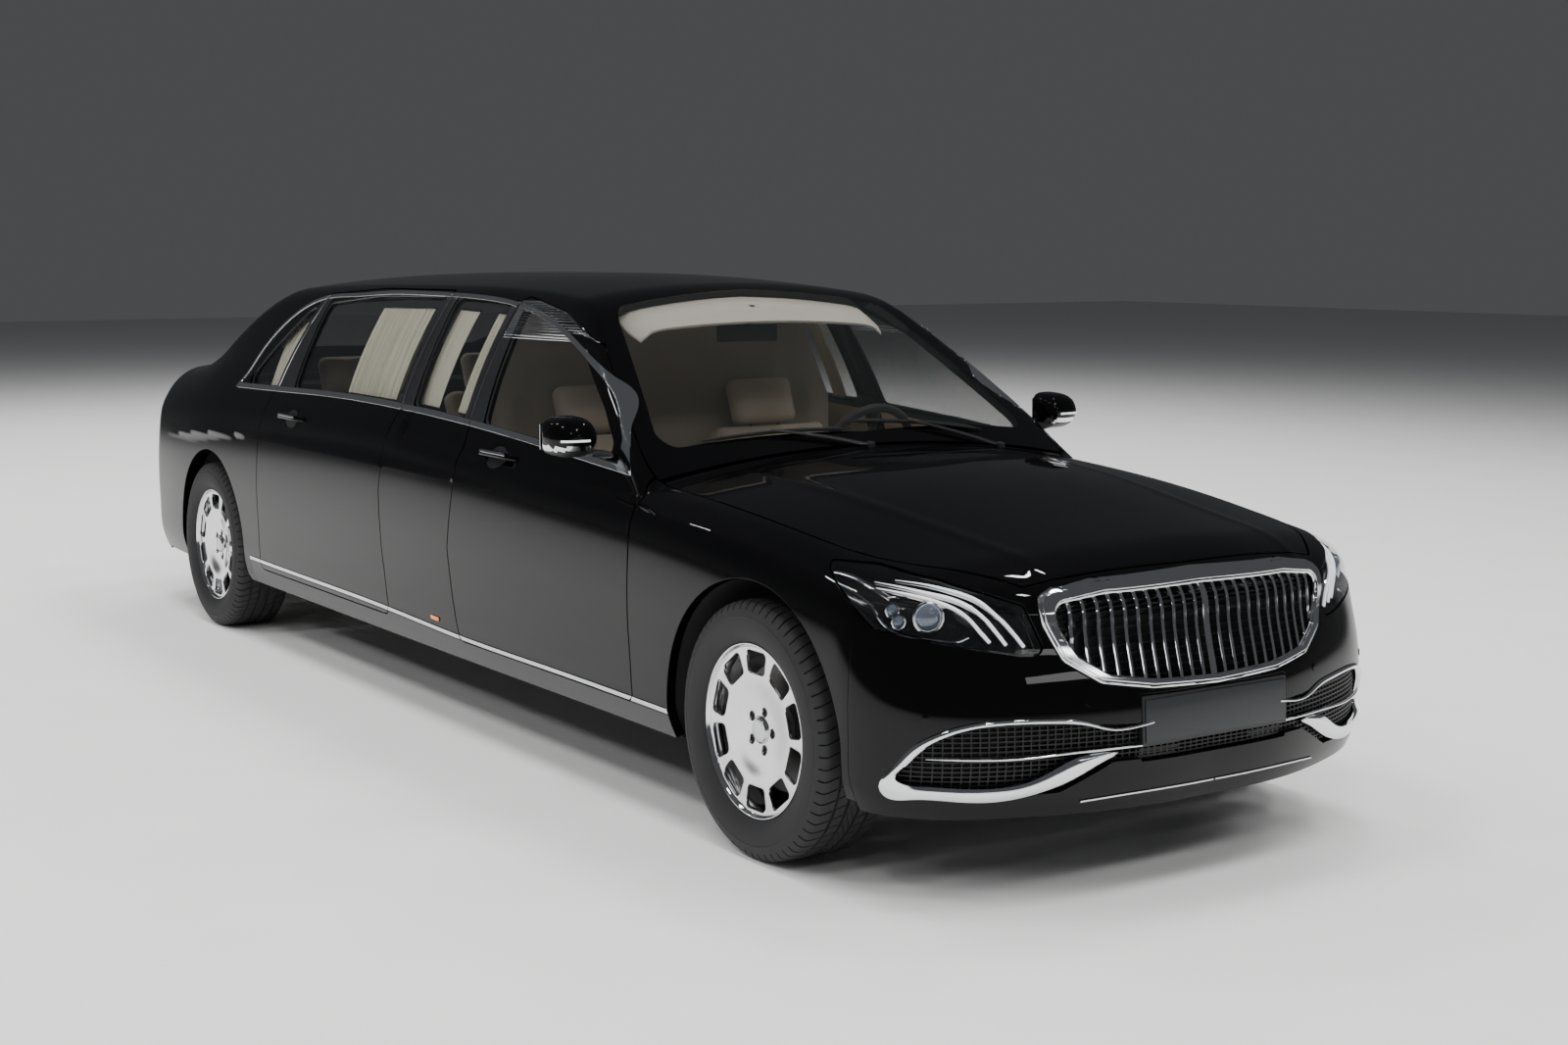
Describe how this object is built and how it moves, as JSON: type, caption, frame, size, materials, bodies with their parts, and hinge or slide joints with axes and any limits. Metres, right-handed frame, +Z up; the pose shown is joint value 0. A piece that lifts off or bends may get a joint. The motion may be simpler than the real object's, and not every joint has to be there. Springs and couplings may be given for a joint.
{
  "type": "stretch limousine",
  "caption": "Full-size stretch limousine with hinged doors, bonnet and boot lid, steered front wheels, chrome bar grille and a furnished cabin behind a partition.",
  "frame": {"origin": "on the ground under the middle of the car, at the bottom centre of its box", "axes": "+X forward along the car, +Y to the car's left, +Z up"},
  "size_m": [6.5, 2.12, 1.5988],
  "materials": {
    "body_paint": "deep gloss black clear-coated paint",
    "window_glass": "lightly tinted laminated glass",
    "bright_chrome": "polished chrome plating",
    "lamp_glass": "clear polycarbonate lamp covers",
    "polished_alloy": "polished forged alloy",
    "tyre_rubber": "matt black tyre rubber",
    "seat_leather": "beige nappa leather",
    "curtain_cloth": "pleated cream curtain cloth",
    "cabin_trim": "dark soft-touch cabin trim",
    "partition_trim": "beige leather-covered partition",
    "underbody": "satin black underbody coating",
    "cast_metal": "bare cast metal",
    "forged_steel": "machined and forged steel",
    "exhaust_steel": "stainless steel",
    "black_plastic": "black moulded plastic",
    "wheel_leather": "dark leather-wrapped rim"
  },
  "bodies": {
    "body_shell": {"side_frame_right": "body_paint", "side_frame_left": "body_paint", "front_fender_right": "body_paint", "front_fender_left": "body_paint", "roof_panel": "body_paint", "front_bumper": "body_paint", "rear_bumper": "body_paint", "windscreen": "window_glass", "rear_window": "window_glass", "fixed_side_windows": "window_glass", "headlamps": "lamp_glass", "tail_lamps": "lamp_glass", "radiator_grille": "bright_chrome", "front_seats": "seat_leather", "rear_seats": "seat_leather", "rear_facing_seats": "seat_leather", "cabin_curtains": "curtain_cloth", "dashboard": "cabin_trim", "centre_console": "cabin_trim", "partition": "partition_trim", "floor_pan": "underbody", "bulkheads": "underbody", "engine_and_gearbox": "cast_metal", "front_axle": "forged_steel", "rear_axle": "forged_steel", "exhaust_system": "exhaust_steel", "wiper_arms": "black_plastic"},
    "front_door_right_unit": {"front_door_right": "body_paint", "front_door_glass_right": "window_glass", "mirror_right": "body_paint"},
    "front_door_left_unit": {"front_door_left": "body_paint", "front_door_glass_left": "window_glass", "mirror_left": "body_paint"},
    "rear_door_right_unit": {"rear_door_right": "body_paint", "rear_door_glass_right": "window_glass", "rear_door_curtain_right": "curtain_cloth"},
    "rear_door_left_unit": {"rear_door_left": "body_paint", "rear_door_glass_left": "window_glass", "rear_door_curtain_left": "curtain_cloth"},
    "bonnet_unit": {"bonnet": "body_paint"},
    "boot_lid_unit": {"boot_lid": "body_paint"},
    "steering_wheel_unit": {"steering_wheel": "wheel_leather"},
    "knuckle_right_unit": {"front_knuckle_right": "cast_metal"},
    "knuckle_left_unit": {"front_knuckle_left": "cast_metal"},
    "front_wheel_right_unit": {"front_wheel_right": "polished_alloy", "front_tyre_right": "tyre_rubber"},
    "front_wheel_left_unit": {"front_wheel_left": "polished_alloy", "front_tyre_left": "tyre_rubber"},
    "rear_wheel_right_unit": {"rear_wheel_right": "polished_alloy", "rear_tyre_right": "tyre_rubber"},
    "rear_wheel_left_unit": {"rear_wheel_left": "polished_alloy", "rear_tyre_left": "tyre_rubber"}
  },
  "joints": [
    {"name": "front_door_right_hinge", "type": "hinge", "parent": "body_shell", "child": "front_door_right_unit", "pos_m": [1.721, -0.9415, 0.6847], "axis": [0, 0, 1], "range_deg": [0, 66]},
    {"name": "front_door_left_hinge", "type": "hinge", "parent": "body_shell", "child": "front_door_left_unit", "pos_m": [1.721, 0.9415, 0.6847], "axis": [0, 0, -1], "range_deg": [0, 66]},
    {"name": "rear_door_right_hinge", "type": "hinge", "parent": "body_shell", "child": "rear_door_right_unit", "pos_m": [-0.1202, -0.948, 0.6951], "axis": [0, 0, 1], "range_deg": [0, 66]},
    {"name": "rear_door_left_hinge", "type": "hinge", "parent": "body_shell", "child": "rear_door_left_unit", "pos_m": [-0.1202, 0.948, 0.6951], "axis": [0, 0, -1], "range_deg": [0, 66]},
    {"name": "bonnet_hinge", "type": "hinge", "parent": "body_shell", "child": "bonnet_unit", "pos_m": [1.6868, 0, 1.061], "axis": [0, -1, 0], "range_deg": [0, 50]},
    {"name": "boot_lid_hinge", "type": "hinge", "parent": "body_shell", "child": "boot_lid_unit", "pos_m": [-2.4674, 0, 1.2082], "axis": [0, 1, 0], "range_deg": [0, 74]},
    {"name": "left_steer", "type": "hinge", "parent": "body_shell", "child": "knuckle_left_unit", "pos_m": [2.3735, 0.744, 0.368], "axis": [0, 0, 1], "range_deg": [-36, 36]},
    {"name": "right_steer", "type": "hinge", "parent": "body_shell", "child": "knuckle_right_unit", "pos_m": [2.3735, -0.744, 0.368], "axis": [0, 0, 1], "range_deg": [-36, 36]},
    {"name": "steering_wheel_turn", "type": "hinge", "parent": "body_shell", "child": "steering_wheel_unit", "pos_m": [1.1291, 0.37, 0.96415], "axis": [-0.9135, 0, 0.4067], "range_deg": [-450, 450]},
    {"name": "front_wheel_right_roll", "type": "hinge", "parent": "knuckle_right_unit", "child": "front_wheel_right_unit", "pos_m": [2.3735, -0.812, 0.368], "axis": [0, 1, 0], "continuous": true},
    {"name": "front_wheel_left_roll", "type": "hinge", "parent": "knuckle_left_unit", "child": "front_wheel_left_unit", "pos_m": [2.3735, 0.812, 0.368], "axis": [0, 1, 0], "continuous": true},
    {"name": "rear_wheel_right_roll", "type": "hinge", "parent": "body_shell", "child": "rear_wheel_right_unit", "pos_m": [-2.0445, -0.8185, 0.368], "axis": [0, 1, 0], "continuous": true},
    {"name": "rear_wheel_left_roll", "type": "hinge", "parent": "body_shell", "child": "rear_wheel_left_unit", "pos_m": [-2.0445, 0.8185, 0.368], "axis": [0, 1, 0], "continuous": true}
  ],
  "couplings": [
    {"joint": "right_steer", "follows": "left_steer", "ratio": 1},
    {"joint": "steering_wheel_turn", "follows": "left_steer", "ratio": 12.5}
  ]
}
